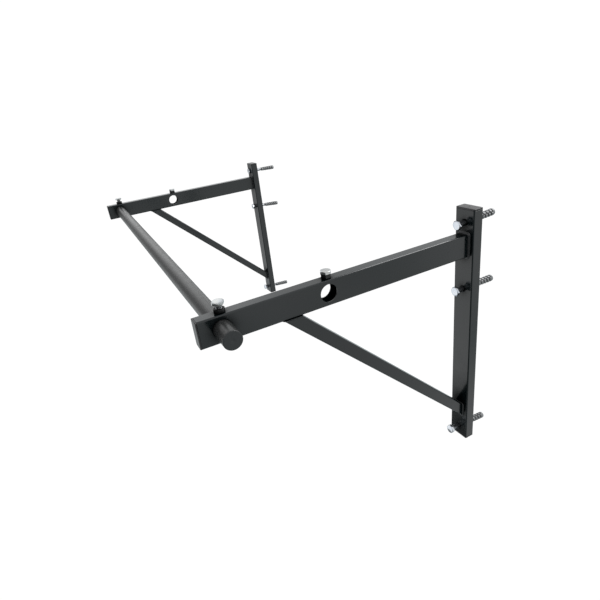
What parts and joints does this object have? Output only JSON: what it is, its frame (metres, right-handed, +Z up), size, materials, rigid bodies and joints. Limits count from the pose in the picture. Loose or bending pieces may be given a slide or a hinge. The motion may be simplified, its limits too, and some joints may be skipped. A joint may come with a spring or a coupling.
{
  "type": "wall-mounted kip bar",
  "caption": "Wall-mounted kip bar: a round steel bar clamped across braced tube brackets with wall posts, end caps, spare bar holes, clamp bolts, lag screws and plugs.",
  "frame": {"origin": "on the back face of the right-hand wall post, at the height of the bar's axis", "axes": "+Z up, +Y into the wall (out of the posts' back faces), +X to the right for someone facing the wall, along the bar"},
  "size_m": [1.294, 0.6923, 0.5868],
  "materials": {
    "frame_powder_coat": "satin charcoal powder coat",
    "coated_weld_and_nut": "satin charcoal powder coat over weld metal",
    "cap_plastic": "moulded, satin",
    "plug_plastic": "moulded, matte",
    "wall_plug_nylon": "moulded nylon, ribbed",
    "bar_powder_coat": "fine-textured grey powder coat",
    "zinc_plate": "bright zinc plating"
  },
  "bodies": {
    "right_bracket": {"right_wall_post": "frame_powder_coat", "right_support_arm": "frame_powder_coat", "right_diagonal_brace": "frame_powder_coat", "right_arm_weld": "coated_weld_and_nut", "right_brace_upper_weld": "coated_weld_and_nut", "right_brace_lower_weld": "coated_weld_and_nut", "right_post_top_cap": "cap_plastic", "right_post_bottom_cap": "cap_plastic", "right_arm_end_cap": "cap_plastic", "right_front_weld_nut": "coated_weld_and_nut", "right_rear_weld_nut": "coated_weld_and_nut", "right_top_wall_plug": "wall_plug_nylon", "right_middle_wall_plug": "wall_plug_nylon", "right_bottom_wall_plug": "wall_plug_nylon"},
    "left_bracket": {"left_wall_post": "frame_powder_coat", "left_support_arm": "frame_powder_coat", "left_diagonal_brace": "frame_powder_coat", "left_arm_weld": "coated_weld_and_nut", "left_brace_upper_weld": "coated_weld_and_nut", "left_brace_lower_weld": "coated_weld_and_nut", "left_post_top_cap": "cap_plastic", "left_post_bottom_cap": "cap_plastic", "left_arm_end_cap": "cap_plastic", "left_front_weld_nut": "coated_weld_and_nut", "left_rear_weld_nut": "coated_weld_and_nut", "left_top_wall_plug": "wall_plug_nylon", "left_middle_wall_plug": "wall_plug_nylon", "left_bottom_wall_plug": "wall_plug_nylon"},
    "bar_end_plugs": {"bar_end_plug_right": "plug_plastic", "bar_end_plug_left": "plug_plastic"},
    "bar": {"bar_tube": "bar_powder_coat"},
    "right_front_clamp_bolt": {"right_front_clamp_bolt": "zinc_plate"},
    "right_rear_clamp_bolt": {"right_rear_clamp_bolt": "zinc_plate"},
    "right_top_lag_screw": {"right_top_lag_screw": "zinc_plate"},
    "right_middle_lag_screw": {"right_middle_lag_screw": "zinc_plate"},
    "right_bottom_lag_screw": {"right_bottom_lag_screw": "zinc_plate"},
    "left_front_clamp_bolt": {"left_front_clamp_bolt": "zinc_plate"},
    "left_rear_clamp_bolt": {"left_rear_clamp_bolt": "zinc_plate"},
    "left_top_lag_screw": {"left_top_lag_screw": "zinc_plate"},
    "left_middle_lag_screw": {"left_middle_lag_screw": "zinc_plate"},
    "left_bottom_lag_screw": {"left_bottom_lag_screw": "zinc_plate"}
  },
  "joints": [
    {"name": "left_bracket_spacing", "type": "slide", "parent": "right_bracket", "child": "left_bracket", "axis": [1, 0, 0], "range_m": [-0.017, 0.36]},
    {"name": "bar_slide", "type": "slide", "parent": "right_bracket", "child": "bar_end_plugs", "axis": [1, 0, 0], "range_m": [-0.03, 0.03]},
    {"name": "bar_spin", "type": "hinge", "parent": "bar_end_plugs", "child": "bar", "pos_m": [-0.5868, -0.5675, 0], "axis": [1, 0, 0], "continuous": true},
    {"name": "right_front_clamp_travel", "type": "slide", "parent": "right_bracket", "child": "right_front_clamp_bolt", "axis": [0, 0, 1], "range_m": [0, 0.014]},
    {"name": "right_rear_clamp_travel", "type": "slide", "parent": "right_bracket", "child": "right_rear_clamp_bolt", "axis": [0, 0, 1], "range_m": [-0.0006, 0.013]},
    {"name": "right_top_lag_travel", "type": "slide", "parent": "right_bracket", "child": "right_top_lag_screw", "axis": [0, 0.9976, 0.0698], "range_m": [-0.03, 0.0143]},
    {"name": "right_middle_lag_travel", "type": "slide", "parent": "right_bracket", "child": "right_middle_lag_screw", "axis": [0, 1, 0.0087], "range_m": [-0.03, 0.0161]},
    {"name": "right_bottom_lag_travel", "type": "slide", "parent": "right_bracket", "child": "right_bottom_lag_screw", "axis": [0, 0.9976, -0.0698], "range_m": [-0.03, 0.0208]},
    {"name": "left_front_clamp_travel", "type": "slide", "parent": "left_bracket", "child": "left_front_clamp_bolt", "axis": [0, 0, 1], "range_m": [0, 0.014]},
    {"name": "left_rear_clamp_travel", "type": "slide", "parent": "left_bracket", "child": "left_rear_clamp_bolt", "axis": [0, 0, 1], "range_m": [-0.0006, 0.013]},
    {"name": "left_top_lag_travel", "type": "slide", "parent": "left_bracket", "child": "left_top_lag_screw", "axis": [0, 0.9997, -0.0262], "range_m": [-0.03, 0.0006]},
    {"name": "left_middle_lag_travel", "type": "slide", "parent": "left_bracket", "child": "left_middle_lag_screw", "axis": [0, 0.9976, -0.0698], "range_m": [-0.03, 0.0058]},
    {"name": "left_bottom_lag_travel", "type": "slide", "parent": "left_bracket", "child": "left_bottom_lag_screw", "axis": [0, 0.9976, -0.0698], "range_m": [-0.03, 0.0098]}
  ]
}
